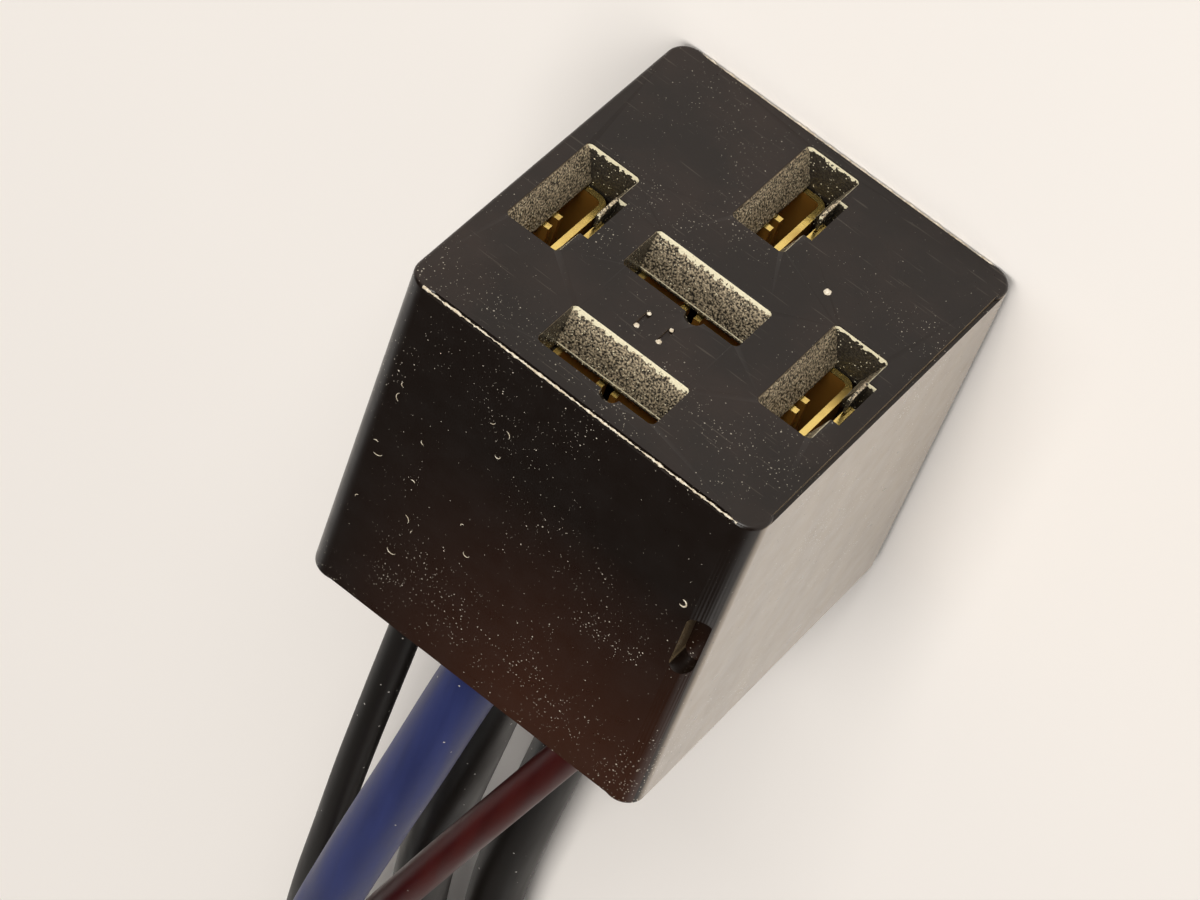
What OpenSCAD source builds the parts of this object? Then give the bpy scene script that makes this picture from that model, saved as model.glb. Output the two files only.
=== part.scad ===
// Five-way relay socket with its leads. A moulded block takes a standard five-blade
// relay: each of its five slots funnels a blade into a brass receptacle, and each
// receptacle is crimped on a lead that leaves through the back of the block.
//
// Frame: the block lies on one long side. +Z is up, the mating face looks along -Y,
// the leads leave along +Y, and the origin is under the middle of the block.

/* [Block] */
// Width of the block, side to side
block_w = 24; // [23.6:0.1:24.4]
// Height of the block as it lies
block_h = 26.5; // [26.2:0.1:26.9]
// Depth of the block, mating face to back face
block_l = 26.2; // [26:0.1:28]
// Radius of the four long corner edges
corner_r = 1.4; // [1:0.1:1.6]

/* [Blade pattern] */
// Height of the middle row: slots 86, 87a and 85
row_z = 14.8; // [14.7:0.05:14.9]
// From the centre slot 87a to slot 86 or 85
side_pitch = 8.7; // [8.6:0.05:8.8]
// From the centre slot 87a up to slot 87
upper_pitch = 8; // [7.9:0.05:8.1]
// From the centre slot 87a down to slot 30
lower_pitch = 9.8; // [9.7:0.05:9.9]
// Sideways offset of the pattern in the block
pattern_x = 0.3; // [0.2:0.05:0.4]

/* [Slots] */
// Length of a slot's mouth
slot_l = 8; // [7.9:0.05:8.1]
// Width of a slot's mouth
slot_w = 3.7; // [3.6:0.05:3.8]
// How far each long wall of the funnel leans in
funnel_in = 1; // [0.9:0.05:1.1]
// Depth of the funnel
funnel_d = 2.4; // [2.2:0.1:2.6]

/* [Receptacles] */
// Thickness of the brass strip
strip_t = 0.4; // [0.35:0.01:0.42]
// Width over the two rolls
roll_w = 7.4; // [7.2:0.1:7.6]
// Height over base and rolls
roll_h = 2.9; // [2.8:0.05:3]
// Length of the rolled part
roll_l = 7.6; // [7.2:0.1:8]

/* [Leads] */
// Outside diameter of the three supply leads
thick_d = 3.9; // [3.6:0.1:4]
// Conductor diameter of the three supply leads
thick_core_d = 1.9; // [1.7:0.1:2]
// Outside diameter of the black coil lead
thin_d = 2.2; // [2:0.1:2.4]
// Outside diameter of the red coil lead
red_d = 2.4; // [2.2:0.1:2.4]
// Conductor diameter of the two coil leads
thin_core_d = 1.2; // [1:0.1:1.2]
// Length of bare conductor at a lead's far end
bare_l = 6; // [5:0.5:8]

/* [Hidden] */
$fn = 48;
tiny = 0.01;

plastic = [0.16, 0.14, 0.13];
brass = [0.85, 0.70, 0.30];
copper = [0.80, 0.47, 0.28];
black_pvc = [0.07, 0.06, 0.06];
red_pvc = [0.40, 0.06, 0.05];
blue_pvc = [0.16, 0.22, 0.50];

// Slot places: [x, z, turn]. At turn 0 a slot lies flat, at turn 90 it stands upright.
FLAT = 0;
UPRIGHT = 90;
SLOT_86 = [pattern_x + side_pitch, row_z, UPRIGHT];
SLOT_85 = [pattern_x - side_pitch, row_z, UPRIGHT];
SLOT_87A = [pattern_x, row_z, FLAT];
SLOT_87 = [pattern_x, row_z + upper_pitch, FLAT];
SLOT_30 = [pattern_x, row_z - lower_pitch, UPRIGHT];

// Depths behind the mating face, in the order of a receptacle's length
throat_d = funnel_d + 0.2;
rim_d = throat_d + 0.1;
neck_d = rim_d + roll_l;
crimp_d = neck_d + 2.2;
crimp_l = 3.8;
grip_d = crimp_d + crimp_l + 1.2;
grip_l = 3;
lead_start_y = grip_d - block_l / 2;
grip_end_y = lead_start_y + grip_l + 0.5;
lead_sides = 8;

// Across a receptacle, counted from the blade's middle plane towards the rolls
blade_t = 0.8;
base_in = -blade_t / 2;
base_out = base_in - strip_t;
crown_out = base_out + roll_h;
cavity_gap = 0.15;
cavity_l = roll_w + 2 * cavity_gap;

// Keyways beside the mouths, for the receptacles' lances
keyway_l = 3.8;
keyway_out = slot_w / 2 + 0.55;
lance_w = 1.7;
lance_out = slot_w / 2 + 0.2;
lance_root_d = 8;
web_t = 0.2;

// Small marks on the block
pocket_w = 1.3;
pocket_l = 4.8;
pocket_depth = 1.6;
mark_pitch = 1.54;
mark_l = 1.45;
mark_w = 0.36;
mark_h = 0.15;
mark_z = 19;

// Leads: centre lines from the grip inside the block to the end of the jacket, [x, y, z].
// Each leaves the back face, keeps its set for some 40 mm, then sinks to the floor.
ROUTE_86 = [
    [9.2, lead_start_y, 14.8], [9.2, grip_end_y, 14.8], [9.2, 13.1, 14.8], [9.2, 20, 14.8],
    [9.3, 28, 14.7], [9.5, 36, 14.5], [9.7, 44, 14.2], [9.9, 52, 13.6],
    [10.3, 60, 12.5], [10.8, 68, 10.6], [11.2, 76, 8.2], [11.4, 84, 5.6],
    [11.4, 92, 3.3], [11.3, 100, 1.9], [11.2, 114, 1.15], [11.4, 130, 1.15]
];
ROUTE_85 = [
    [-8.2, lead_start_y, 14.8], [-8.2, grip_end_y, 14.8], [-7.7, 13.1, 14.8], [-5.8, 20, 14.8],
    [-3.5, 28, 14.8], [-1.2, 36, 14.8], [1.1, 44, 14.6], [3.3, 52, 14],
    [5.4, 60, 12.6], [7.2, 68, 10.1], [8.4, 76, 7], [9, 84, 4.3],
    [9, 92, 2.4], [8.8, 100, 1.5], [8.5, 114, 1.25], [8.5, 129, 1.25]
];
ROUTE_87A = [
    [0.3, lead_start_y, 14.25], [0.3, grip_end_y, 14.25], [1.4, 13.1, 14.3], [2.3, 20, 14],
    [2.7, 28, 13.3], [3.2, 36, 12.4], [3.8, 44, 11.2], [4.3, 52, 9.6],
    [4.5, 60, 7.8], [4.2, 68, 6], [3.6, 76, 4.4], [2.8, 84, 3.1],
    [2, 92, 2.3], [1.4, 100, 2], [0.8, 114, 2], [0.8, 132, 2]
];
ROUTE_87 = [
    [0.3, lead_start_y, 22.25], [0.3, grip_end_y, 22.25], [0.7, 13.1, 22.5], [1.6, 20, 22.6],
    [2.6, 28, 22.4], [3.7, 36, 22], [4.8, 44, 21.3], [5.9, 52, 20],
    [6.7, 60, 17.6], [7, 68, 14.2], [6.9, 76, 10.4], [6.5, 84, 6.8],
    [6, 92, 4], [5.5, 100, 2.5], [5, 114, 2], [5.2, 130, 2]
];
ROUTE_30 = [
    [0.85, lead_start_y, 5], [0.85, grip_end_y, 5], [0.4, 13.1, 5], [0, 20, 4.9],
    [0, 28, 4.7], [0.2, 36, 4.4], [0.5, 44, 4], [0.9, 52, 3.5],
    [1.1, 60, 3], [0.5, 68, 2.5], [-0.6, 76, 2.1], [-1.6, 84, 2],
    [-2.4, 92, 2], [-3, 100, 2], [-3.5, 114, 2], [-3.4, 131, 2]
];

// ---- helpers -------------------------------------------------------------

// Rectangle from (x0, y0) to (x1, y1) with its own radius at each corner, taken
// anticlockwise from the lower left: r = [lower left, lower right, upper right, upper left].
module rounded_rect(x0, y0, x1, y1, r) {
    polygon([
        [x0 + r[0], y0], [x1 - r[1], y0], [x1, y0 + r[1]], [x1, y1 - r[2]],
        [x1 - r[2], y1], [x0 + r[3], y1], [x0, y1 - r[3]], [x0, y0 + r[0]]
    ]);
    centres = [
        [x0 + r[0], y0 + r[0]], [x1 - r[1], y0 + r[1]],
        [x1 - r[2], y1 - r[2]], [x0 + r[3], y1 - r[3]]
    ];
    for (i = [0 : 3])
        translate(centres[i])
            circle(r[i]);
}

// Children drawn at a slot: x runs along the slot, y across it towards the rolls,
// and z straight out of the mating face, with z = 0 on the face.
module at_slot(slot) {
    translate([slot[0], -block_l / 2, slot[1]])
        rotate([-90, 0, 180])
            rotate([0, 0, slot[2]])
                children();
}

// A profile given in (y, z) of the slot, carried along x over a length.
module along_slot(length) {
    rotate([90, 0, 90])
        linear_extrude(length, center = true)
            children();
}

// A box in a slot's own axes, from one corner to the other.
module span(low, high) {
    translate(low)
        cube(high - low);
}

function unit(v) = v / norm(v);

// The direction of a route at one of its points.
function heading(route, i) =
    unit(route[min(i + 1, len(route) - 1)] - route[max(i - 1, 0)]);

// One ring of points round a route's point, square to the route.
function ring(route, i, r) =
    let (
        ahead = heading(route, i),
        side = unit(cross(ahead, [0, 0, 1])),
        over = cross(side, ahead)
    )
    [for (k = [0 : lead_sides - 1])
        let (turn = 360 * k / lead_sides)
        route[i] + r * (cos(turn) * side + sin(turn) * over)];

// A tube of constant diameter swept along a route.
module swept_tube(route, d) {
    n = lead_sides;
    last = len(route) - 1;
    points = [for (i = [0 : last], p = ring(route, i, d / 2)) p];
    walls = [
        for (i = [0 : last - 1], k = [0 : n - 1])
            let (next = (k + 1) % n)
            [i * n + k, i * n + next, (i + 1) * n + next, (i + 1) * n + k]
    ];
    near_end = [for (k = [n - 1 : -1 : 0]) k];
    far_end = [for (k = [0 : n - 1]) last * n + k];
    polyhedron(points, concat(walls, [near_end, far_end]), convexity = 6);
}

// ---- housing -------------------------------------------------------------

// The plain block: rounded long corners, and every end edge eased by edge_r.
module block() {
    edge_r = 0.25;
    inner_r = corner_r - edge_r;
    x = block_w / 2 - corner_r;
    z = block_h / 2 - corner_r;
    translate([0, 0, block_h / 2])
        rotate([90, 0, 0]) {
            linear_extrude(block_l - 2 * edge_r, center = true)
                rounded_rect(
                    -block_w / 2, -block_h / 2, block_w / 2, block_h / 2,
                    [corner_r, corner_r, corner_r, corner_r]
                );
            linear_extrude(block_l, center = true)
                rounded_rect(
                    edge_r - block_w / 2, edge_r - block_h / 2,
                    block_w / 2 - edge_r, block_h / 2 - edge_r,
                    [inner_r, inner_r, inner_r, inner_r]
                );
            for (end = [-1, 1])
                translate([0, 0, end * (block_l / 2 - edge_r)]) {
                    for (side = [-1, 1]) {
                        translate([side * (block_w / 2 - edge_r), 0, 0])
                            rotate([90, 0, 0])
                                cylinder(h = 2 * z, r = edge_r, center = true);
                        translate([0, side * (block_h / 2 - edge_r), 0])
                            rotate([0, 90, 0])
                                cylinder(h = 2 * x, r = edge_r, center = true);
                    }
                    for (i = [-1, 1], j = [-1, 1])
                        translate([i * x, j * z, 0])
                            rotate_extrude()
                                translate([inner_r, 0])
                                    circle(edge_r);
                }
        }
}

// Mouth of a slot: all four walls lean in, the long ones by funnel_in.
module funnel() {
    end_in = 0.15;
    half_l = slot_l / 2;
    half_w = slot_w / 2;
    intersection() {
        along_slot(slot_l + 1)
            polygon([
                [-half_w, 1], [-half_w, 0], [funnel_in - half_w, -funnel_d],
                [funnel_in - half_w, -throat_d - tiny], [half_w - funnel_in, -throat_d - tiny],
                [half_w - funnel_in, -funnel_d], [half_w, 0], [half_w, 1]
            ]);
        rotate([90, 0, 0])
            linear_extrude(slot_w + 1, center = true)
                polygon([
                    [-half_l, 1], [-half_l, 0], [end_in - half_l, -funnel_d],
                    [end_in - half_l, -throat_d - tiny], [half_l - end_in, -throat_d - tiny],
                    [half_l - end_in, -funnel_d], [half_l, 0], [half_l, 1]
                ]);
        translate([0, 0, -throat_d - tiny])
            linear_extrude(throat_d + 1)
                rounded_rect(-half_l, -half_w, half_l, half_w, [0.35, 0.35, 0.35, 0.35]);
    }
}

// Everything hollow behind one mouth: funnel, receptacle bay, lance channel, and the
// wider bay that opens through the back, as wide across as its lead needs.
module slot_hollow(upright, lead_low, lead_high) {
    half_l = cavity_l / 2;
    channel_d = lance_root_d + 1;
    funnel();
    span(
        [-half_l, base_out - 0.1, -neck_d - tiny],
        [half_l, crown_out + cavity_gap, -throat_d]
    );
    span([-half_l, lead_low, -block_l - 1], [half_l, lead_high, -neck_d]);
    if (upright) {
        span([-keyway_l / 2, -keyway_out, -channel_d], [keyway_l / 2, base_out, 1]);
    } else {
        half_lance = lance_w / 2 + 0.2;
        span([-half_lance, -keyway_out, -channel_d], [half_lance, base_out, -throat_d]);
        translate([1.1, -slot_w / 2, -1.2])
            cylinder(h = 2.2, r = 0.6);
    }
}

// Thin skin left standing over half of an upright slot's keyway.
module keyway_web() {
    span([0.1, -slot_w / 2, -1.2], [keyway_l / 2 + tiny, web_t - slot_w / 2, -0.1]);
}

// Rounded pocket cut in the upper left corner edge, open to the top.
module corner_pocket() {
    half = (pocket_l - pocket_w) / 2;
    translate([-block_w / 2 + 0.9, -2.1, block_h - pocket_depth]) {
        for (y = [-half, half])
            translate([0, y, 0])
                cylinder(h = 3, r = pocket_w / 2);
        translate([-pocket_w / 2, -half, 0])
            cube([pocket_w, 2 * half, 3]);
    }
}

// Two short grooves between the upper two slots.
module twin_grooves() {
    for (side = [-1, 1])
        translate([pattern_x + side * mark_pitch / 2, -block_l / 2, mark_z])
            cube([mark_w, 2 * mark_h, mark_l], center = true);
}

module housing() {
    color(plastic) {
        difference() {
            block();
            at_slot(SLOT_86) slot_hollow(true, -1.5, 2.1);
            at_slot(SLOT_85) slot_hollow(true, -1.5, 2.1);
            at_slot(SLOT_87A) slot_hollow(false, -2.3, 3);
            at_slot(SLOT_87) slot_hollow(false, -2.3, 3);
            at_slot(SLOT_30) slot_hollow(true, -2.3, 3);
            corner_pocket();
            twin_grooves();
        }
        at_slot(SLOT_86) keyway_web();
        at_slot(SLOT_85) keyway_web();
        at_slot(SLOT_30) keyway_web();
    }
}

// ---- receptacles ---------------------------------------------------------

// Section of one roll, on the +x side: a closed strip whose inner leg stops short of
// the base and leaves a gap as high as the blade.
module roll_section() {
    left = 0.3;
    right = roll_w / 2;
    t = strip_t;
    tip = base_in + blade_t + 0.05;
    difference() {
        rounded_rect(left, base_out, right, crown_out, [0.2, 0.8, 1.2, 1.2]);
        rounded_rect(left + t, base_in, right - t, crown_out - t, [0.1, 0.4, 0.8, 0.8]);
        translate([left - 1, base_in])
            square([1 + t + 0.3, tip - base_in]);
    }
}

// Rolled part of a receptacle: a flat base with a roll on each side.
module rolled_sleeve() {
    translate([0, 0, -neck_d])
        linear_extrude(roll_l) {
            translate([-roll_w / 2 + 0.8, base_out])
                square([roll_w - 1.6, strip_t]);
            roll_section();
            mirror([1, 0])
                roll_section();
        }
}

// Flat strip that narrows from the rolls to the crimp and dips under the jacket.
module neck_strip(grip_floor) {
    intersection() {
        along_slot(roll_w)
            polygon([
                [base_out, -neck_d + 0.5], [base_in, -neck_d + 0.5],
                [base_in, -crimp_d - crimp_l], [grip_floor + strip_t, -grip_d],
                [grip_floor + strip_t, -grip_d - 0.5], [grip_floor, -grip_d - 0.5],
                [grip_floor, -grip_d], [base_out, -crimp_d - crimp_l]
            ]);
        rotate([90, 0, 0])
            linear_extrude(2 * roll_w, center = true)
                polygon([
                    [-2.8, 1 - neck_d], [-2.8, -neck_d], [-0.7, -crimp_d],
                    [-0.7, -grip_d - 0.5], [0.7, -grip_d - 0.5], [0.7, -crimp_d],
                    [2.8, -neck_d], [2.8, 1 - neck_d]
                ]);
    }
}

// Barrel closed round something of diameter d, its two wings meeting in a seam.
module barrel(centre, d, from, length) {
    translate([0, centre, -from - length])
        linear_extrude(length)
            difference() {
                circle(d / 2 + strip_t);
                circle(d / 2);
                translate([0, d / 2 + strip_t])
                    rotate(45)
                        square(0.35, center = true);
            }
}

// Tongue bent out of the base, which locks in the keyway.
module lance(tip_d, tip_out) {
    along_slot(lance_w)
        polygon([
            [base_in - 0.1, -lance_root_d], [base_out - 0.05, -lance_root_d],
            [-tip_out, -tip_d], [strip_t - tip_out, -tip_d]
        ]);
}

module terminal(slot, core_d, jacket_d) {
    centre = core_d / 2 + base_in;
    upright = slot[2] == UPRIGHT;
    color(brass)
        at_slot(slot) {
            rolled_sleeve();
            neck_strip(centre - jacket_d / 2 - strip_t);
            barrel(centre, core_d, crimp_d, crimp_l);
            barrel(centre, jacket_d, grip_d, grip_l);
            if (upright)
                lance(1.3, lance_out);
            else
                lance(throat_d + 0.2, lance_out - 0.3);
        }
}

module terminal_86() { terminal(SLOT_86, thin_core_d, thin_d); }
module terminal_85() { terminal(SLOT_85, thin_core_d, red_d); }
module terminal_87a() { terminal(SLOT_87A, thick_core_d, thick_d); }
module terminal_87() { terminal(SLOT_87, thick_core_d, thick_d); }
module terminal_30() { terminal(SLOT_30, thick_core_d, thick_d); }

// ---- leads ---------------------------------------------------------------

module lead_86_black() { color(black_pvc) swept_tube(ROUTE_86, thin_d); }
module lead_85_red() { color(red_pvc) swept_tube(ROUTE_85, red_d); }
module lead_87a_black() { color(black_pvc) swept_tube(ROUTE_87A, thick_d); }
module lead_87_blue() { color(blue_pvc) swept_tube(ROUTE_87, thick_d); }
module lead_30_black() { color(black_pvc) swept_tube(ROUTE_30, thick_d); }

// The conductor of a lead where it shows: crimped in its barrel, and stripped at the
// far end. Between the two it runs inside the jacket, which is drawn solid.
module conductor(route, core_d) {
    last = len(route) - 1;
    ahead = heading(route, last);
    color(copper) {
        translate([route[0][0], lead_start_y, route[0][2]])
            rotate([90, 0, 0])
                cylinder(h = grip_d - crimp_d + 0.4, d = core_d);
        translate(route[last])
            rotate([-acos(ahead[2]), 0, -atan2(ahead[0], ahead[1])])
                cylinder(h = bare_l, d = core_d);
    }
}

module conductor_86() { conductor(ROUTE_86, thin_core_d); }
module conductor_85() { conductor(ROUTE_85, thin_core_d); }
module conductor_87a() { conductor(ROUTE_87A, thick_core_d); }
module conductor_87() { conductor(ROUTE_87, thick_core_d); }
module conductor_30() { conductor(ROUTE_30, thick_core_d); }

housing();
terminal_86();
terminal_85();
terminal_87a();
terminal_87();
terminal_30();
lead_86_black();
lead_85_red();
lead_87a_black();
lead_87_blue();
lead_30_black();
conductor_86();
conductor_85();
conductor_87a();
conductor_87();
conductor_30();
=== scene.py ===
"""Looks of a five-way relay socket with its leads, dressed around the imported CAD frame.

The block lies on one long side: +Z is up, the mating face looks along -Y and the leads
leave along +Y. Every size is in metres.
"""

import logging
import math
from collections.abc import Sequence
from dataclasses import dataclass, field
from enum import Enum

import bmesh
import bpy
import numpy as np
from mathutils import Matrix, Vector


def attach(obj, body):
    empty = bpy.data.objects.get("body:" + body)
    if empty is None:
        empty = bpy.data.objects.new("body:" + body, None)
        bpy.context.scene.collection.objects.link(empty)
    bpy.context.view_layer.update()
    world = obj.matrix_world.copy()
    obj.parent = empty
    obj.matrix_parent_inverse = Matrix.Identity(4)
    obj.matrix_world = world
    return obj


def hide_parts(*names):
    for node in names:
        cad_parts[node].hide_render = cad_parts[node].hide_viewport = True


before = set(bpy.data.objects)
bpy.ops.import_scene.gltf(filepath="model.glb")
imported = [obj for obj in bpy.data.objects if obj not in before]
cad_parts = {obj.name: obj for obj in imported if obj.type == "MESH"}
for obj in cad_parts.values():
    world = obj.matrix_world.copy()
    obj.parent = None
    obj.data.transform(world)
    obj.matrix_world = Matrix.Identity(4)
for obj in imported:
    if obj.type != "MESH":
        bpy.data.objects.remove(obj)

LOG = logging.getLogger("relay_socket")
MM = 0.001
ROOT = "root"
Triple = tuple[float, float, float]
Colour = Triple
Array = np.ndarray


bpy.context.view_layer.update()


# ---- shader wrapper ------------------------------------------------------------------


class Sock:
    """One output socket of a node tree, with Python operators that add Math nodes."""

    def __init__(self, tree: bpy.types.NodeTree, socket: bpy.types.NodeSocket) -> None:
        """Keeps the tree and the socket.

        Args:
            tree: The node tree that new nodes go into.
            socket: The output that this object stands for.
        """
        self.tree = tree
        self.socket = socket

    def _math(self, operation: str, other: "Sock | float", flip: bool = False) -> "Sock":
        """Adds one Math node with this socket and another value.

        Args:
            operation: The node's operation.
            other: The second value.
            flip: Whether the two values change places.

        Returns:
            The node's output.
        """
        node = self.tree.nodes.new("ShaderNodeMath")
        node.operation = operation
        for slot, value in zip(node.inputs, (other, self) if flip else (self, other)):
            if isinstance(value, Sock):
                self.tree.links.new(value.socket, slot)
            else:
                slot.default_value = value
        return Sock(self.tree, node.outputs[0])

    def __add__(self, other: "Sock | float") -> "Sock":
        """Sum."""
        return self._math("ADD", other)

    def __sub__(self, other: "Sock | float") -> "Sock":
        """Difference."""
        return self._math("SUBTRACT", other)

    def __rsub__(self, other: float) -> "Sock":
        """Difference from a number."""
        return self._math("SUBTRACT", other, flip=True)

    def __mul__(self, other: "Sock | float") -> "Sock":
        """Product."""
        return self._math("MULTIPLY", other)

    def above(self, other: "Sock | float") -> "Sock":
        """1 where this is greater than other, and 0 elsewhere."""
        return self._math("GREATER_THAN", other)

    def below(self, other: "Sock | float") -> "Sock":
        """1 where this is less than other, and 0 elsewhere."""
        return self._math("LESS_THAN", other)

    def larger(self, other: "Sock | float") -> "Sock":
        """The larger of two values."""
        return self._math("MAXIMUM", other)

    def size(self) -> "Sock":
        """The value without its sign."""
        return self._math("ABSOLUTE", 0.0)

    __radd__ = __add__
    __rmul__ = __mul__


Value = Sock | float | Triple


class Paint:
    """Builds one material's node tree."""

    def __init__(self, name: str) -> None:
        """Starts a material with one Principled shader.

        Args:
            name: The material's name.
        """
        self.material = bpy.data.materials.new(name)
        self.material.use_nodes = True
        self.tree = self.material.node_tree
        self.shader = self.tree.nodes["Principled BSDF"]
        self.place = self.node("ShaderNodeTexCoord", out="Object")

    def node(
        self,
        kind: str,
        settings: dict[str, object] | None = None,
        inputs: dict[str | int, Value] | None = None,
        out: str | int = 0,
        stops: Sequence[tuple[float, Colour]] = (),
    ) -> Sock:
        """Adds any node.

        Args:
            kind: The node's type.
            settings: Attributes that are set first.
            inputs: Values or links of its inputs, by name or number.
            out: The output that is given back.
            stops: A colour ramp's stops, each a place and a colour.

        Returns:
            The chosen output.
        """
        made = self.tree.nodes.new(kind)
        for key, value in (settings or {}).items():
            setattr(made, key, value)
        if stops:
            ramp = made.color_ramp.elements
            while len(ramp) < len(stops):
                ramp.new(0.5)
            for element, (place, colour) in zip(ramp, stops):
                element.position = place
                element.color = (*colour, 1.0)
        for key, value in (inputs or {}).items():
            self.feed(made.inputs[key], value)
        return Sock(self.tree, made.outputs[out])

    def feed(self, slot: bpy.types.NodeSocket, value: Value) -> None:
        """Links a socket or sets a constant.

        Args:
            slot: The input to fill.
            value: A socket, a number or a colour.
        """
        if isinstance(value, Sock):
            self.tree.links.new(value.socket, slot)
        elif isinstance(value, tuple) and slot.type == "RGBA":
            slot.default_value = (*value, 1.0)
        else:
            slot.default_value = value

    def set(self, **sockets: Value) -> None:
        """Fills the Principled shader's inputs; underscores stand for spaces.

        Args:
            **sockets: Input names with their values.
        """
        for key, value in sockets.items():
            self.feed(self.shader.inputs[key.replace("_", " ")], value)

    def axis(self, source: Sock) -> tuple[Sock, Sock, Sock]:
        """Splits a vector.

        Args:
            source: A vector socket.

        Returns:
            Its three parts.
        """
        node = self.tree.nodes.new("ShaderNodeSeparateXYZ")
        self.tree.links.new(source.socket, node.inputs[0])
        return tuple(Sock(self.tree, output) for output in node.outputs)

    def stretched(self, scale: Triple, turn: Triple = (0.0, 0.0, 0.0)) -> Sock:
        """Gives the object's coordinates turned and scaled.

        Args:
            scale: Scale along each axis.
            turn: Turn about each axis, in radians.

        Returns:
            The mapped coordinates.
        """
        return self.node(
            "ShaderNodeMapping", inputs={0: self.place, "Rotation": turn, "Scale": scale}
        )

    def noise(self, scale: float, detail: float = 3.0, place: Sock | None = None) -> Sock:
        """Fractal noise from 0 to 1, over the object's coordinates.

        Args:
            scale: Cells per metre.
            detail: Octaves.
            place: Other coordinates to use.

        Returns:
            The noise value.
        """
        inputs = {"Vector": place or self.place, "Scale": scale, "Detail": detail}
        return self.node("ShaderNodeTexNoise", inputs=inputs)

    def cells(self, scale: float, place: Sock | None = None) -> Sock:
        """Distance to the nearest point of a scattered set, in cells."""
        return self.node("ShaderNodeTexVoronoi", inputs={"Vector": place or self.place, "Scale": scale})

    def ramp(self, value: Sock, low: float, high: float) -> Sock:
        """0 below low and 1 above high, with an even slope between.

        Args:
            value: The value to map.
            low: Where the slope starts.
            high: Where it ends; below low the slope falls.

        Returns:
            The mapped value.
        """
        return self.node(
            "ShaderNodeMapRange", inputs={0: value, 1: low, 2: high, 3: 0.0, 4: 1.0}
        )

    def mix(self, share: Value, first: Value, second: Value) -> Sock:
        """Mixes two colours.

        Args:
            share: How much of the second colour.
            first: The first colour.
            second: The second colour.

        Returns:
            The mixed colour.
        """
        node = self.tree.nodes.new("ShaderNodeMix")
        node.data_type = "RGBA"
        for index, value in ((0, share), (6, first), (7, second)):
            self.feed(node.inputs[index], value)
        return Sock(self.tree, node.outputs[2])

    def bump(self, height: Sock, depth: float, strength: float = 1.0) -> Sock:
        """Turns a height into a normal.

        Args:
            height: The height, from 0 to 1.
            depth: Its size in metres.
            strength: How far the normal follows it.

        Returns:
            The normal.
        """
        inputs = {"Height": height, "Distance": depth, "Strength": strength}
        return self.node("ShaderNodeBump", inputs=inputs)


# ---- finishes ------------------------------------------------------------------------


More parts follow.
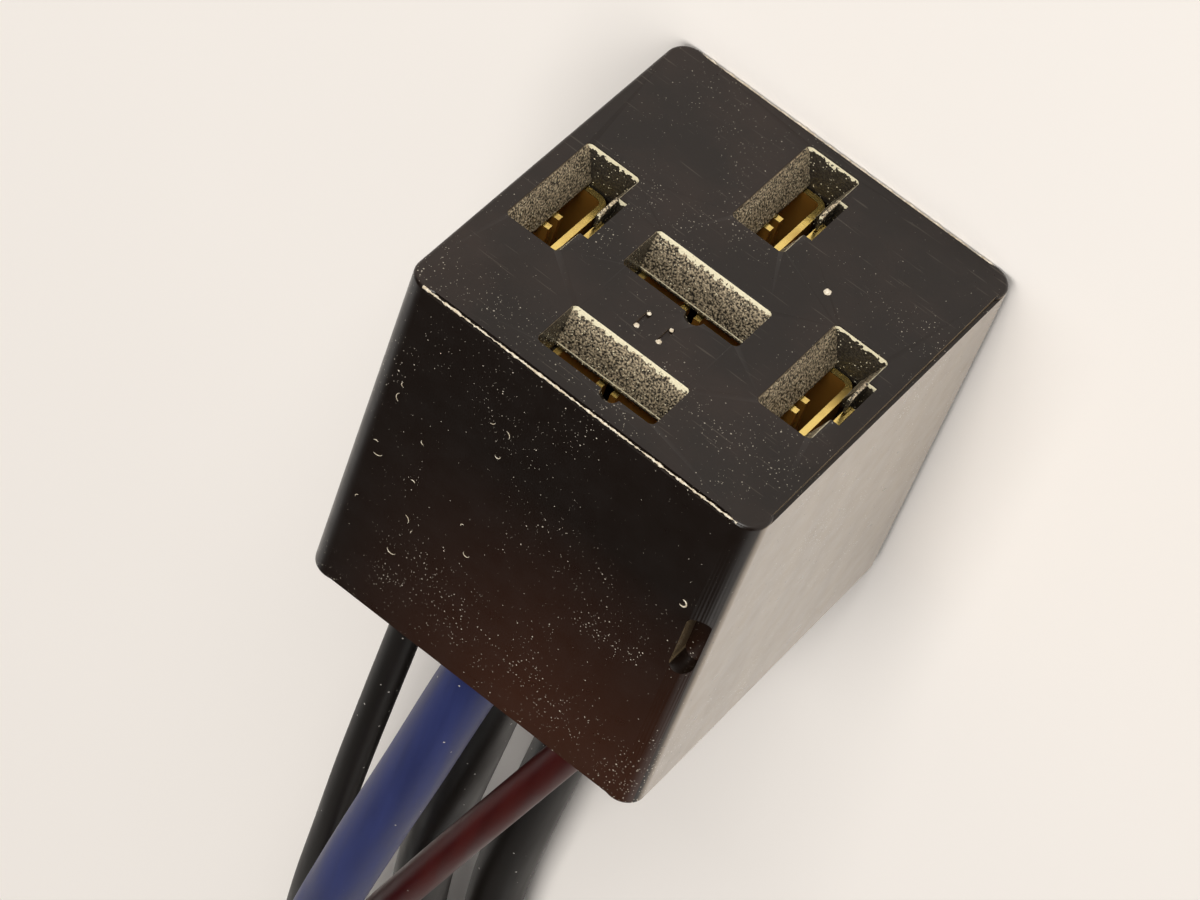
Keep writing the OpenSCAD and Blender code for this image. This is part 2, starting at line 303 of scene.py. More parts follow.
@dataclass(frozen=True)
class MouldedPlastic:
    """Black moulded block: scuffed mating face, dusty sides with a painted glare on the -X side, grainy
    slot walls with painted light and highlights.
    """

    name: str = "moulded_plastic"
    black: Colour = (0.0058, 0.0027, 0.0014)
    red_brown: Colour = (0.032, 0.0098, 0.0040)
    bloom: Colour = (0.024, 0.013, 0.009)
    scratch: Colour = (0.13, 0.11, 0.09)
    painted_glare: Colour = (0.345, 0.250, 0.140)
    grain_dark: Colour = (0.010, 0.007, 0.004)
    lit_grain: Colour = (0.68, 0.56, 0.38)
    highlight_cream: Colour = (0.78, 0.72, 0.52)
    dust: Colour = (0.74, 0.68, 0.57)
    face_y: float = -13.1 * MM
    slot_floor_y: float = -10.2 * MM
    shelf: float = 2.36 * MM
    painted_glare_grain: Triple = (70.0, 70.0, 420.0)
    pit_cells: float = 1300.0
    wall_grain: float = 8200.0
    wall_relief: float = 0.10 * MM
    gloss_grain: float = 700.0
    skin_grain: float = 2600.0
    skin_relief: float = 0.006 * MM
    glint_cells: float = 5200.0
    lip_grain: float = 3200.0
    side_from: float = -0.88
    side_full: float = -0.995
    skin: float = 0.06 * MM
    lip_reach: float = 1.0 * MM
    lip_drop: float = 0.20 * MM
    shelf_line: float = 0.03 * MM
    warm_y: tuple[float, float] = (-5.0 * MM, 11.0 * MM)
    warm_x: tuple[float, float] = (11.0 * MM, -3.0 * MM)
    slots_half_w: float = 11.1 * MM
    grooves_x: float = 0.3 * MM
    grooves_z: float = 19.0 * MM
    grooves_half_w: float = 1.2 * MM
    grooves_half_l: float = 1.1 * MM
    slots_low: float = 0.7 * MM
    slots_high: float = 25.3 * MM

    def make(self) -> bpy.types.Material:
        """Builds the material.

        Returns:
            The material.
        """
        paint = Paint(self.name)
        x, y, z = paint.axis(paint.place)
        nx, ny, nz = paint.axis(paint.node("ShaderNodeNewGeometry", out="Normal"))
        top_side = nz.above(0.6)
        left_side = paint.ramp(nx, self.side_from, self.side_full)
        depth = y - self.face_y
        inside = self.slot_mask(x, y, z)
        base = self.outer_colour(paint, y, x, top_side)
        # Painted glare: the -X side is painted a grainy beige that stands in for the grazing reflection
        # there; pits let the black show through.
        painted_glare = paint.ramp(paint.noise(1.0, 3.0, paint.stretched(self.painted_glare_grain)), 0.30, 0.75)
        pits = paint.cells(self.pit_cells).below(0.075) * nx.below(-0.9)
        painted_glare = (painted_glare * 0.22 + 0.54) * (1.0 - pits)
        base = paint.mix(left_side * painted_glare, base, self.painted_glare)
        base = paint.mix(self.dust_mask(paint, ny) * (1.0 - inside), base, self.dust)
        grain = paint.noise(self.wall_grain, 2.0)
        slot = self.slot_colour(paint, grain, depth, (nx, ny, nz))
        rough = paint.ramp(paint.noise(self.gloss_grain, 3.0), 0.2, 0.8) * 0.10 + 0.26
        fine = paint.bump(paint.noise(self.skin_grain, 3.0), self.skin_relief, 0.5)
        relief = {
            "Height": grain * inside,
            "Distance": self.wall_relief,
            "Strength": 0.7,
            "Normal": fine,
        }
        paint.set(
            Base_Color=paint.mix(inside, base, slot),
            Roughness=rough + inside * 0.25,
            Coat_Weight=left_side * 0.8,
            Normal=paint.node("ShaderNodeBump", inputs=relief),
            IOR=1.42,
            Coat_Roughness=0.24,
            Coat_IOR=1.7,
        )
        return paint.material

    def slot_mask(self, x: Sock, y: Sock, z: Sock) -> Sock:
        """Picks the walls of the five slots, apart from the twin grooves.

        Args:
            x: Place along the width.
            y: Place along the depth.
            z: Height.

        Returns:
            1 inside a slot, 0 elsewhere.
        """
        inside = (
            (y - self.face_y).above(self.skin)
            * y.below(self.slot_floor_y)
            * x.size().below(self.slots_half_w)
            * z.above(self.slots_low)
            * z.below(self.slots_high)
        )
        grooves = (x - self.grooves_x).size().below(self.grooves_half_w)
        grooves = grooves * (z - self.grooves_z).size().below(self.grooves_half_l)
        return inside * (1.0 - grooves)

    def slot_colour(
        self, paint: Paint, grain: Sock, depth: Sock, normal: tuple[Sock, Sock, Sock]
    ) -> Sock:
        """Grainy wall with painted light: paler where it leans towards the mouth and faces the lamps,
        painted shade deeper in, painted glints, and a pale painted highlight along the mouth and along
        the deep edge of the funnel.

        Args:
            paint: The material's builder.
            grain: The wall's grain, from 0 to 1.
            depth: Depth behind the mating face.
            normal: The normal's three parts.

        Returns:
            The colour.
        """
        nx, ny, nz = normal
        # Painted light: walls that slope towards the mouth face the lamps and get the pale grain
        # colour; the depth ramp is painted shade deeper in the slot.
        sloped = ny.below(-0.2)
        shade = paint.ramp(depth, 3.2 * MM, 0.2 * MM) * 0.45 + 0.55
        light = paint.ramp(grain, 0.40, 0.70) * (sloped * 0.85 + 0.06) * shade
        # Painted glints: scattered pale specks stand in for grains catching the light.
        glint = paint.cells(self.glint_cells).below(0.20) * paint.noise(2300.0, 1.0).above(0.50)
        slot = paint.mix(light, self.grain_dark, self.lit_grain)
        slot = paint.mix(glint, slot, self.highlight_cream)
        # Painted highlight: a ragged pale band near the mouth on walls facing up or towards +X, and a
        # thin line at the funnel edge, where the lamps strike them.
        lip_reach = paint.noise(self.lip_grain, 4.0) * self.lip_reach - self.lip_drop
        shelf = (depth - self.shelf).size().below(self.shelf_line) * sloped
        lit_lip = (depth.below(lip_reach) + shelf) * (nz.above(0.3) + nx.above(0.3))
        return paint.mix(lit_lip, slot, self.highlight_cream)

    def outer_colour(self, paint: Paint, y: Sock, x: Sock, top_side: Sock) -> Sock:
        """Black plastic that warms to red-brown at the back of the upper side, with a pale
        bloom and fine scratches on the others.

        Args:
            paint: The material's builder.
            y: Place along the depth.
            x: Place along the width.
            top_side: 1 on the upper side.

        Returns:
            The colour.
        """
        warm = paint.ramp(y, *self.warm_y) * paint.ramp(x, *self.warm_x)
        base = paint.mix(warm * top_side, self.black, self.red_brown)
        bloom = paint.ramp(paint.noise(190.0, 5.0), 0.42, 0.78) * 0.6
        base = paint.mix(bloom * (1.0 - top_side), base, self.bloom)
        for turn in (0.9, 2.2):
            place = paint.stretched((300.0, 300.0, 5200.0), (0.0, turn, 0.0))
            scratch = paint.ramp(paint.noise(1.0, 1.0, place), 0.70, 0.74) * 0.22
            base = paint.mix(scratch * (1.0 - top_side), base, self.scratch)
        return base

    def dust_mask(self, paint: Paint, ny: Sock) -> Sock:
        """Round motes of three sizes that gather in patches.

        Args:
            paint: The material's builder.
            ny: The normal's part along the depth.

        Returns:
            1 on a mote, 0 elsewhere.
        """
        patches = paint.ramp(paint.noise(170.0, 4.0), 0.42, 0.70)
        large = paint.cells(1500.0).below(patches * 0.050 + 0.036)
        medium = paint.cells(3300.0).below(patches * 0.110 + 0.030)
        small = paint.cells(5200.0).below(patches * 0.150)
        return large.larger(medium).larger(small) * (ny.above(-0.5) * 0.45 + 0.40)


@dataclass(frozen=True)
class StampedBrass:
    """Bright stamped brass, with fine drawing lines and darker brown stains; behind the rim it is
    painted dull brown and less metallic, a painted glow standing in for light bounced inside the roll.
    """

    name: str = "stamped_brass"
    bright: Colour = (0.90, 0.68, 0.22)
    stained: Colour = (0.46, 0.25, 0.06)
    painted_bounce: Colour = (0.42, 0.20, 0.035)
    rim_y: float = -10.36 * MM

    def make(self) -> bpy.types.Material:
        """Builds the material.

        Returns:
            The material.
        """
        paint = Paint(self.name)
        _, y, _ = paint.axis(paint.place)
        # Painted bounce light: behind the rim the brass is painted dull brown and less metallic,
        # standing in for light bounced inside the roll.
        behind = y.above(self.rim_y)
        stain = paint.ramp(paint.noise(420.0, 4.0), 0.42, 0.70)
        lines = paint.noise(1.0, 2.0, paint.stretched((7000.0, 500.0, 7000.0)))
        paint.set(
            Base_Color=paint.mix(behind, paint.mix(stain * 0.5, self.bright, self.stained), self.painted_bounce),
            Metallic=1.0 - behind * 0.35,
            Roughness=stain * 0.18 + 0.20 + behind * 0.12,
            Normal=paint.bump(lines, 0.010 * MM, 0.5),
        )
        return paint.material


@dataclass(frozen=True)
class DrawnCopper:
    """Bare copper strands, a little dulled."""

    name: str = "drawn_copper"
    bright: Colour = (0.90, 0.46, 0.27)
    dull: Colour = (0.42, 0.17, 0.08)

    def make(self) -> bpy.types.Material:
        """Builds the material.

        Returns:
            The material.
        """
        paint = Paint(self.name)
        dull = paint.ramp(paint.noise(900.0, 3.0), 0.45, 0.75)
        paint.set(
            Base_Color=paint.mix(dull, self.bright, self.dull),
            Metallic=1.0,
            Roughness=dull * 0.2 + 0.22,
            Normal=paint.bump(paint.noise(6000.0, 2.0), 0.004 * MM, 0.5),
        )
        return paint.material


@dataclass(frozen=True)
class Jacket:
    """Smooth extruded lead insulation with a faint flow texture and some dust."""

    name: str
    colour: Colour
    light: Colour

    def make(self) -> bpy.types.Material:
        """Builds the material.

        Returns:
            The material.
        """
        paint = Paint(self.name)
        flow = paint.ramp(paint.noise(1.0, 3.0, paint.stretched((900.0, 90.0, 900.0))), 0.35, 0.75)
        motes = paint.cells(1400.0).below(0.09) * paint.noise(210.0, 2.0).above(0.56)
        base = paint.mix(flow * 0.45, self.colour, self.light)
        paint.set(
            Base_Color=paint.mix(motes, base, (0.45, 0.43, 0.40)),
            Roughness=flow * 0.12 + 0.40 + motes * 0.3,
            Normal=paint.bump(paint.noise(1500.0, 3.0), 0.010 * MM, 0.35),
            Specular_IOR_Level=0.22,
        )
        return paint.material


@dataclass(frozen=True)
class Lint:
    """Pale dust, lint and mould flash."""

    name: str
    colour: Colour
    dark: Colour

    def make(self) -> bpy.types.Material:
        """Builds the material.

        Returns:
            The material.
        """
        paint = Paint(self.name)
        share = paint.ramp(paint.noise(4200.0, 3.0), 0.38, 0.68)
        paint.set(
            Base_Color=paint.mix(share, self.dark, self.colour),
            Roughness=share * 0.2 + 0.5,
            Normal=paint.bump(paint.noise(7000.0, 2.0), 0.02 * MM, 0.5),
        )
        return paint.material


# ---- mesh tools ----------------------------------------------------------------------


def mesh_object(name: str, points: Array, faces: Array, smooth: bool = True) -> bpy.types.Object:
    """Makes a mesh object at the origin.

    Args:
        name: The piece's name.
        points: Vertices, one row each.
        faces: Vertex numbers of each face, one row each.
        smooth: Whether its shading is smooth.

    Returns:
        The object.
    """
    mesh = bpy.data.meshes.new(name)
    mesh.from_pydata(points.tolist(), [], faces.tolist())
    mesh.polygons.foreach_set("use_smooth", np.full(len(mesh.polygons), smooth))
    mesh.update()
    thing = bpy.data.objects.new(name, mesh)
    bpy.context.scene.collection.objects.link(thing)
    return thing


def grid_faces(rows: int, columns: int, closed: bool) -> Array:
    """Quads between the rows of a grid of points.

    Args:
        rows: Number of rows.
        columns: Number of points in a row.
        closed: Whether the last point of a row joins the first.

    Returns:
        Vertex numbers, four a face.
    """
    i = np.arange(rows - 1)[:, None]
    j = np.arange(columns if closed else columns - 1)[None, :]
    k = (j + 1) % columns
    quads = [i * columns + j, i * columns + k, (i + 1) * columns + k, (i + 1) * columns + j]
    return np.stack([np.broadcast_to(q, (rows - 1, j.size)) for q in quads], -1).reshape(-1, 4)


def smooth_route(points: Array, per_span: int) -> Array:
    """Catmull-Rom line: each span is the cubic whose ends are two points
    and whose end slopes are half the step between the points on either side.

    Args:
        points: The route's points, one row each.
        per_span: Samples in each span.

    Returns:
        The line's points.
    """
    padded = np.vstack([2 * points[0] - points[1], points, 2 * points[-1] - points[-2]])
    t = np.linspace(0.0, 1.0, per_span, endpoint=False)[None, :, None]
    a, b, c, d = (padded[k : len(padded) - 3 + k, None, :] for k in range(4))
    spans = 0.5 * (
        2 * b
        + (c - a) * t
        + (2 * a - 5 * b + 4 * c - d) * t**2
        + (3 * b - 3 * c + d - a) * t**3
    )
    return np.vstack([spans.reshape(-1, 3), points[-1]])


def frames(line: Array) -> tuple[Array, Array, Array]:
    """Axes along a line that never runs straight up: forward is the slope, side is level,
    and over is square to both.

    Args:
        line: The line's points.

    Returns:
        Forward, side and over, one row for each point.
    """
    ahead = np.gradient(line, axis=0)
    ahead /= np.linalg.norm(ahead, axis=1)[:, None]
    side = np.cross(ahead, [0.0, 0.0, 1.0])
    side /= np.linalg.norm(side, axis=1)[:, None]
    return ahead, side, np.cross(side, ahead)


def tube(line: Array, radius: Array, sides: int) -> tuple[Array, Array]:
    """Closed tube: a circle of the radius at each point, in the plane of side and over,
    with a centre point that closes each end.

    Args:
        line: Centre line.
        radius: Radius at each point.
        sides: Sides of the circle.

    Returns:
        Vertices and quads, where the end quads fold to triangles at the centre.
    """
    _, side, over = frames(line)
    turn = np.arange(sides) * 2 * math.pi / sides
    ring = side[:, None] * np.cos(turn)[None, :, None] + over[:, None] * np.sin(turn)[None, :, None]
    body = line[:, None] + radius[:, None, None] * ring
    ends = [np.repeat(line[:1], sides, 0)[None], np.repeat(line[-1:], sides, 0)[None]]
    points = np.concatenate([ends[0], body, ends[1]])
    return points.reshape(-1, 3), grid_faces(len(points), sides, True)


def finish_mesh(thing: bpy.types.Object, merge: float = 1e-7) -> None:
    """Merges doubled vertices, drops faces with no area and turns all faces outwards.

    Args:
        thing: The object to clean.
        merge: Distance below which vertices are merged.
    """
    work = bmesh.new()
    work.from_mesh(thing.data)
    bmesh.ops.remove_doubles(work, verts=work.verts, dist=merge)
    bmesh.ops.dissolve_degenerate(work, edges=work.edges, dist=merge)
    bmesh.ops.recalc_face_normals(work, faces=work.faces)
    work.to_mesh(thing.data)
    work.free()


def dress(thing: bpy.types.Object, material: bpy.types.Material) -> None:
    """Gives a new piece its material and its body.

    Args:
        thing: The piece.
        material: Its material.
    """
    thing.data.materials.clear()
    thing.data.materials.append(material)
    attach(thing, ROOT)
    LOG.info("%s: %d faces", thing.name, len(thing.data.polygons))


# ---- camera, floor and light ---------------------------------------------------------


@dataclass
class View:
    """Camera by what it aims at, its distance and its three angles."""

    aim: Vector = field(default_factory=lambda: Vector((1.6, 1.7, 15.9)) * MM)
    distance: float = 272.4 * MM
    azimuth: float = -16.18
    elevation: float = 38.45
    roll: float = -132.73
    lens: float = 143.74
    sensor: float = 36.0

    def back(self) -> Vector:
        """Direction from the object to the camera."""
        azimuth, elevation = math.radians(self.azimuth), math.radians(self.elevation)
        level = math.cos(elevation)
        return Vector(
            (math.sin(azimuth) * level, -math.cos(azimuth) * level, math.sin(elevation))
        )

    def build(self) -> bpy.types.Object:
        """Makes the scene's camera.

        Returns:
            The camera.
        """
        data = bpy.data.cameras.new("camera")
        data.lens, data.sensor_width = self.lens, self.sensor
        data.clip_start, data.clip_end = 0.01, 20.0
        camera = bpy.data.objects.new("camera", data)
        bpy.context.scene.collection.objects.link(camera)
        back = self.back()
        right = (-back).cross(Vector((0.0, 0.0, 1.0))).normalized()
        over = right.cross(-back)
        turn = math.radians(self.roll)
        rolled = right * math.cos(turn) + over * math.sin(turn)
        upright = over * math.cos(turn) - right * math.sin(turn)
        place = self.aim + back * self.distance
        camera.matrix_world = Matrix(
            [[*row, p] for row, p in zip(zip(rolled, upright, back), place)] + [[0, 0, 0, 1]]
        )
        bpy.context.scene.camera = camera
        return camera


@dataclass(frozen=True)
class Lamp:
    """One soft rectangular lamp aimed at the block."""

    name: str
    place: Triple
    size: tuple[float, float]
    power: float
    colour: Colour = (1.0, 0.97, 0.92)

    def build(self, aim: Vector) -> None:
        """Makes the lamp.

        Args:
            aim: The point that it faces.
        """
        data = bpy.data.lights.new(self.name, "AREA")
        data.shape, (data.size, data.size_y) = "RECTANGLE", self.size
        data.energy, data.color = self.power, self.colour
        lamp = bpy.data.objects.new(self.name, data)
        lamp.location = self.place
        lamp.rotation_euler = (aim - Vector(self.place)).to_track_quat("-Z", "Y").to_euler()
        bpy.context.scene.collection.objects.link(lamp)


@dataclass
class Studio:
    """Pale floor, a dim sky and soft lamps."""

    floor_colour: Colour = (0.87, 0.835, 0.81)
    floor_half: float = 3.0
    horizon_glow: float = 0.80
    zenith_glow: float = 0.05
    horizon_low: float = 0.22
    horizon_high: float = 0.40
    lamps: tuple[Lamp, ...] = (
        Lamp("top_softbox", (-0.05, -0.30, 1.40), (0.80, 0.80), 15.0),
        Lamp("front_softbox", (-0.10, -1.10, 0.62), (0.60, 0.50), 9.4),
    )

    def build(self) -> None:
        """Makes the floor, the world and the lamps."""
        half = self.floor_half
        square = np.array([[-half, -half, 0], [half, -half, 0], [half, half, 0], [-half, half, 0]])
        floor = mesh_object("floor", square, np.array([[0, 1, 2, 3]]), smooth=False)
        paint = Paint("floor_paper")
        tone = paint.noise(30.0, 2.0)
        lighter = tuple(min(1.0, part * 1.02) for part in self.floor_colour)
        paint.set(Base_Color=paint.mix(tone, self.floor_colour, lighter), Roughness=0.9)
        paint.set(Specular_IOR_Level=0.2)
        floor.data.materials.append(paint.material)
        world = bpy.data.worlds.new("studio")
        world.use_nodes = True
        background = world.node_tree.nodes["Background"]
        background.inputs["Color"].default_value = (1.0, 0.97, 0.93, 1.0)
        direction = world.node_tree.nodes.new("ShaderNodeTexCoord")
        parts = world.node_tree.nodes.new("ShaderNodeSeparateXYZ")
        world.node_tree.links.new(direction.outputs["Generated"], parts.inputs[0])
        fall = world.node_tree.nodes.new("ShaderNodeMapRange")
        levels = (self.horizon_low, self.horizon_high, self.horizon_glow, self.zenith_glow)
        for index, level in enumerate(levels, 1):
            fall.inputs[index].default_value = level
        world.node_tree.links.new(parts.outputs[2], fall.inputs[0])
        world.node_tree.links.new(fall.outputs[0], background.inputs["Strength"])
        bpy.context.scene.world = world
        for lamp in self.lamps:
            lamp.build(Vector((0.0, 0.02, 0.01)))


# ---- leads ---------------------------------------------------------------------------

LEAD_START_Y = 4.4
GRIP_END_Y = 7.9


class Gauge(Enum):
    """The lead sizes: outside diameter, conductor diameter, strands round the middle."""

    SUPPLY = (3.9, 1.9, 12)
    COIL_BLACK = (2.2, 1.2, 6)
    COIL_RED = (2.4, 1.2, 6)


@dataclass
class Lead:
    """One free lead: jacket, and a stranded conductor that shows at its two ends."""

    node: str
    conductor: str
    gauge: Gauge
    finish: Jacket
    slot: str
    route: list[Triple]
    jacket_sides: int = 40
    bare: float = 6.0 * MM
    crimped: float = 5.4 * MM
    lay_length: float = 11.0 * MM

    def strands(self, line: Array) -> tuple[Array, Array]:
        """Strands wound as helices: strand k turns about the line at its own radius, by one
        turn each lay length, and a straight strand fills the middle.

        Args:
            line: Centre line of the bundle.

        Returns:
            Vertices and faces of all strands.
        """
        _, core_d, outer = self.gauge.value
        _, side, over = frames(line)
        along = np.concatenate([[0.0], np.cumsum(np.linalg.norm(np.diff(line, axis=0), axis=1))])
        bundle = core_d / 2 * MM
        rings = [(outer, bundle * (1 - 1 / (1 + 1 / math.sin(math.pi / outer))))]
        strand_r = rings[0][1] * math.sin(math.pi / outer)
        if outer > 6:
            rings.append((6, 2.05 * strand_r))
        rings.append((1, 0.0))
        points, faces, count = [], [], 0
        for number, radius in rings:
            for k in range(number):
                angle = 2 * math.pi * (k / number + along / self.lay_length)
                path = line + radius * (
                    side * np.cos(angle)[:, None] + over * np.sin(angle)[:, None]
                )
                tip = np.full(len(path), strand_r * 0.98)
                body, quads = tube(path, tip, 8)
                points.append(body)
                faces.append(quads + count)
                count += len(body)
        return np.vstack(points), np.vstack(faces)

    def build(self, conductor_slot: str) -> None:
        """Args:
            conductor_slot: Not used.
        """
        outside, core_d, _ = self.gauge.value
        points = np.array(self.route) * MM
        line = smooth_route(points, 8)
        radius = np.full(len(line), outside / 2 * MM)
        radius[[0, -1]] *= 0.93
        jacket = mesh_object(self.node + "_jacket", *tube(line, radius, self.jacket_sides))
        finish_mesh(jacket)
        dress(jacket, self.finish.make())
        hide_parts(self.node)
        ahead = frames(line)[0][-1]
        tail = line[-1] + ahead * np.linspace(-0.3 * MM, self.bare - 0.02 * MM, 12)[:, None]
        head_end = line[0] + np.array([0.0, 0.2 * MM, 0.0])
        head = head_end - np.array([0.0, 1.0, 0.0]) * np.linspace(0, self.crimped, 10)[:, None]
        far, near = self.strands(tail), self.strands(head)
        both = np.vstack([far[0], near[0]]), np.vstack([far[1], near[1] + len(far[0])])
        wire = mesh_object(self.conductor + "_strands", *both)
        finish_mesh(wire)
        dress(wire, DrawnCopper(f"copper_{self.conductor}").make())
        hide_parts(self.conductor)


BLACK = Jacket("jacket_black", (0.006, 0.0045, 0.0035), (0.014, 0.010, 0.008))
RED = Jacket("jacket_red", (0.036, 0.0018, 0.0010), (0.072, 0.004, 0.002))
BLUE = Jacket("jacket_blue", (0.015, 0.021, 0.088), (0.034, 0.048, 0.180))

LEADS = [
    Lead(
        "lead_86_black",
        "conductor_86",
        Gauge.COIL_BLACK,
        BLACK,
        "jacket_black",
        [
            (9.2, LEAD_START_Y, 14.8), (9.2, GRIP_END_Y, 14.8), (9.2, 13.1, 14.8), (9.2, 20, 14.8),
            (9.3, 28, 14.7), (9.5, 36, 14.5), (9.7, 44, 14.2), (9.9, 52, 13.6),
            (10.3, 60, 12.5), (10.8, 68, 10.6), (11.2, 76, 8.2), (11.4, 84, 5.6),
            (11.4, 92, 3.3), (11.3, 100, 1.9), (11.2, 114, 1.15), (11.4, 130, 1.15),
        ],
    ),
    Lead(
        "lead_85_red",
        "conductor_85",
        Gauge.COIL_RED,
        RED,
        "jacket_red",
        [
            (-8.2, LEAD_START_Y, 14.8), (-8.2, GRIP_END_Y, 14.8), (-7.7, 13.1, 14.8), (-5.8, 20, 14.8),
            (-3.5, 28, 14.8), (-1.2, 36, 14.8), (1.1, 44, 14.6), (3.3, 52, 14),
            (5.4, 60, 12.6), (7.2, 68, 10.1), (8.4, 76, 7), (9, 84, 4.3),
            (9, 92, 2.4), (8.8, 100, 1.5), (8.5, 114, 1.25), (8.5, 129, 1.25),
        ],
    ),
    Lead(
        "lead_87a_black",
        "conductor_87a",
        Gauge.SUPPLY,
        BLACK,
        "jacket_black",
        [
            (0.3, LEAD_START_Y, 14.25), (0.3, GRIP_END_Y, 14.25), (1.4, 13.1, 14.3), (2.3, 20, 14),
            (2.7, 28, 13.3), (3.2, 36, 12.4), (3.8, 44, 11.2), (4.3, 52, 9.6),
            (4.5, 60, 7.8), (4.2, 68, 6), (3.6, 76, 4.4), (2.8, 84, 3.1),
            (2, 92, 2.3), (1.4, 100, 2), (0.8, 114, 2), (0.8, 132, 2),
        ],
    ),
    Lead(
        "lead_87_blue",
        "conductor_87",
        Gauge.SUPPLY,
        BLUE,
        "jacket_blue",
        [
            (0.3, LEAD_START_Y, 22.25), (0.3, GRIP_END_Y, 22.25), (0.7, 13.1, 22.5), (1.6, 20, 22.6),
            (2.6, 28, 22.4), (3.7, 36, 22), (4.8, 44, 21.3), (5.9, 52, 20),
            (6.7, 60, 17.6), (7, 68, 14.2), (6.9, 76, 10.4), (6.5, 84, 6.8),
            (6, 92, 4), (5.5, 100, 2.5), (5, 114, 2), (5.2, 130, 2),
        ],
    ),
    Lead(
        "lead_30_black",
        "conductor_30",
        Gauge.SUPPLY,
        BLACK,
        "jacket_black",
        [
            (0.85, LEAD_START_Y, 5), (0.85, GRIP_END_Y, 5), (0.4, 13.1, 5), (0, 20, 4.9),
            (0, 28, 4.7), (0.2, 36, 4.4), (0.5, 44, 4), (0.9, 52, 3.5),
            (1.1, 60, 3), (0.5, 68, 2.5), (-0.6, 76, 2.1), (-1.6, 84, 2),
            (-2.4, 92, 2), (-3, 100, 2), (-3.5, 114, 2), (-3.4, 131, 2),
        ],
    ),
]


# ---- block and receptacles -----------------------------------------------------------


@dataclass
class Block:
    """The moulded block, kept as the CAD solid and dressed."""

    node: str = "housing"
    bevel: float = 0.035 * MM

    def build(self) -> None:
        """Dresses the CAD node and eases its edges."""
        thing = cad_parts[self.node]
        thing.data.materials.clear()
        thing.data.materials.append(MouldedPlastic().make())
        thing.data.polygons.foreach_set("use_smooth", np.ones(len(thing.data.polygons), bool))
        weld = thing.modifiers.new("weld", "WELD")
        weld.merge_threshold = 1e-6
        bevel = thing.modifiers.new("ease", "BEVEL")
        bevel.width, bevel.segments, bevel.limit_method = self.bevel, 2, "ANGLE"
        bevel.angle_limit = math.radians(40)
        bevel.use_clamp_overlap = True
        weighted = thing.modifiers.new("even", "WEIGHTED_NORMAL")
        weighted.keep_sharp = True
        weighted.weight = 100
        LOG.info("%s: dressed", self.node)


@dataclass
class Receptacle:
    """One brass receptacle, kept as the CAD solid and dressed."""

    node: str

    def build(self) -> None:
        """Dresses the CAD node and parts its shading at creases."""
        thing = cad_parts[self.node]
        thing.data.materials.clear()
        thing.data.materials.append(StampedBrass().make())
        thing.data.polygons.foreach_set("use_smooth", np.ones(len(thing.data.polygons), bool))
        thing.modifiers.new("weld", "WELD").merge_threshold = 1e-6
        split = thing.modifiers.new("crease", "EDGE_SPLIT")
        split.split_angle = math.radians(35)
        LOG.info("%s: dressed", self.node)


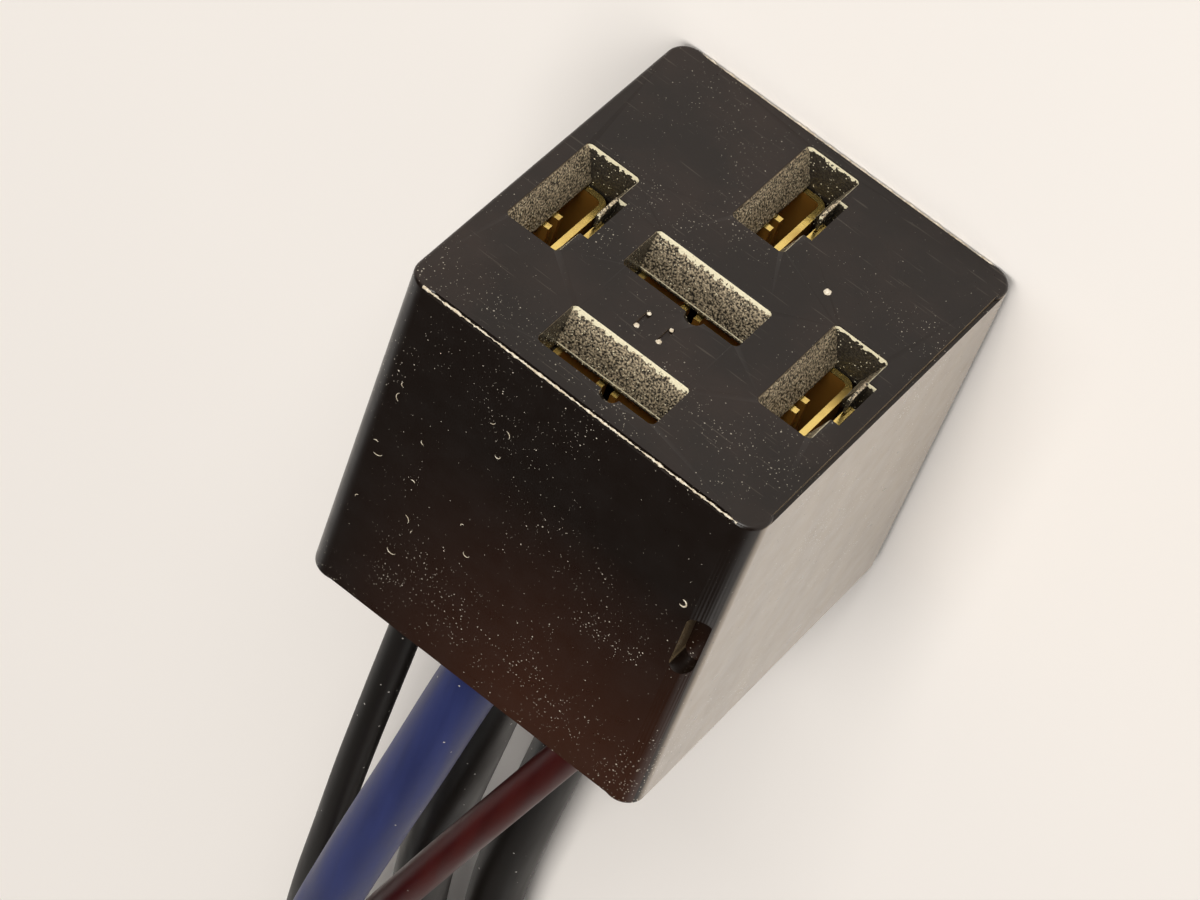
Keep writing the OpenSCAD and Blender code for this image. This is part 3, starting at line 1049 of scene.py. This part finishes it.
@dataclass
class Litter:
    """Lint, dust and flash: curled fibres and a flake on the upper side, ragged beads along
    two edges of the mating face, a pip on it and blobs in the twin grooves."""

    seed: int = 11
    fibres: int = 15
    fibre_r: float = 0.024 * MM
    flake_r: float = 0.055 * MM
    bead_inset: float = 0.07 * MM
    top_z: float = 26.5 * MM
    face_y: float = -13.1 * MM
    lint: Lint = Lint("lint", (0.80, 0.74, 0.62), (0.50, 0.42, 0.30))

    def thread(self, start: Array, turn: float, curl: float, length: float) -> Array:
        """Level arc: its heading turns evenly from the first to the last point.

        Args:
            start: First point.
            turn: First heading in radians.
            curl: How far the heading turns.
            length: The arc's length.

        Returns:
            Points along the arc.
        """
        heading = turn + curl * np.linspace(0.0, 1.0, 12)
        step = length / 11 * np.stack([np.cos(heading), np.sin(heading), 0 * heading], -1)
        return start + np.cumsum(step, axis=0)

    def threads(self) -> tuple[Array, Array]:
        """Scatters the fibres over the half of the upper side towards +X.

        Returns:
            Vertices and faces.
        """
        rng = np.random.default_rng(self.seed)
        lines = []
        for _ in range(self.fibres):
            place = np.array([rng.uniform(2.5, 11.0), rng.uniform(-8.0, 10.5), 0.0]) * MM
            place[2] = self.top_z + 0.03 * MM
            curl = rng.uniform(1.2, 3.6) * rng.choice([-1.0, 1.0])
            length = rng.uniform(0.25, 0.80) * MM
            path = self.thread(place, rng.uniform(0.0, 6.28), curl, length)
            lines.append((path, self.fibre_r))
        flake = np.array([-9.6 * MM, -4.9 * MM, self.top_z + 0.04 * MM])
        lines.append((self.thread(flake, 2.4, 3.9, 1.0 * MM), self.flake_r))
        points, faces, count = [], [], 0
        for line, radius in lines:
            taper = np.sin(np.linspace(0.35, math.pi - 0.35, len(line))) * radius
            body, quads = tube(line, taper, 6)
            points.append(body)
            faces.append(quads + count)
            count += len(body)
        return np.vstack(points), np.vstack(faces)

    def blob(self, name: str, place: Array, radius: float, flat: float) -> None:
        """Small lump: a ball whose radius swells and shrinks as a product of waves, pressed
        flat along Y.

        Args:
            name: The piece's name.
            place: Its centre.
            radius: Its radius.
            flat: Its depth as a share of the radius.
        """
        rise = np.linspace(0.0, math.pi, 9)[:, None]
        turn = np.linspace(0.0, 2 * math.pi, 16, endpoint=False)[None, :]
        swell = 1 + 0.22 * np.sin(3 * turn + place[0] * 9e3) * np.sin(2 * rise + place[2] * 7e3)
        ball = np.stack(
            [np.sin(rise) * np.cos(turn), -flat * np.sin(rise) * np.sin(turn), np.cos(rise) + 0 * turn],
            -1,
        )
        points = place + radius * swell[..., None] * ball
        lump = mesh_object(name, points.reshape(-1, 3), grid_faces(9, 16, True))
        finish_mesh(lump)
        dress(lump, self.lint.make())

    def flash(self, name: str, z: float) -> None:
        """Ragged bead of mould flash along a level edge of the mating face: its radius is a
        short random walk, smoothed over neighbours, and drops out where the walk is low.

        Args:
            name: The piece's name.
            z: Height of the bead.
        """
        rng = np.random.default_rng(self.seed + int(z / MM))
        x = np.linspace(-10.7, 10.7, 240) * MM
        rough = np.convolve(rng.normal(size=x.size + 8), np.ones(3) / 3, "same")[4:-4]
        radius = np.clip(0.052 + 0.034 * rough, 0.006, 0.13) * MM
        line = np.stack([x, np.full_like(x, self.face_y + self.bead_inset), np.full_like(x, z)], -1)
        line[:, 1:] += rng.normal(size=(x.size, 2)) * 0.012 * MM
        bead = mesh_object(name, *tube(line, radius, 6), smooth=False)
        finish_mesh(bead)
        dress(bead, self.lint.make())

    def build(self) -> None:
        """Makes all the litter."""
        self.flash("edge_flash_upper", self.top_z - self.bead_inset)
        self.flash("edge_flash_lower", 0.15 * MM)
        fibres = mesh_object("lint_fibres", *self.threads())
        finish_mesh(fibres)
        dress(fibres, self.lint.make())
        pip = np.array([-4.9 * MM, self.face_y, 9.35 * MM])
        self.blob("face_pip", pip, 0.22 * MM, 0.5)
        for side in (-1, 1):
            for end in (-1, 1):
                x = (0.3 + 0.77 * side) * MM
                place = np.array([x, self.face_y + 0.02 * MM, (19.0 + 0.62 * end) * MM])
                radius = (0.17 if end > 0 else 0.13) * MM
                self.blob(f"groove_dust_{side}_{end}", place, radius, 0.4)


def main() -> None:
    """Builds the scene in order: camera, leads, block, receptacles, studio."""
    logging.basicConfig(level=logging.INFO, format="%(message)s")
    bpy.context.scene.view_settings.view_transform = "Standard"
    View().build()
    for lead in LEADS:
        lead.build("conductor_copper")
    Block().build()
    for number in ("86", "85", "87a", "87", "30"):
        Receptacle(f"terminal_{number}").build()
    Litter().build()
    Studio().build()


if __name__ == "__main__":
    main()
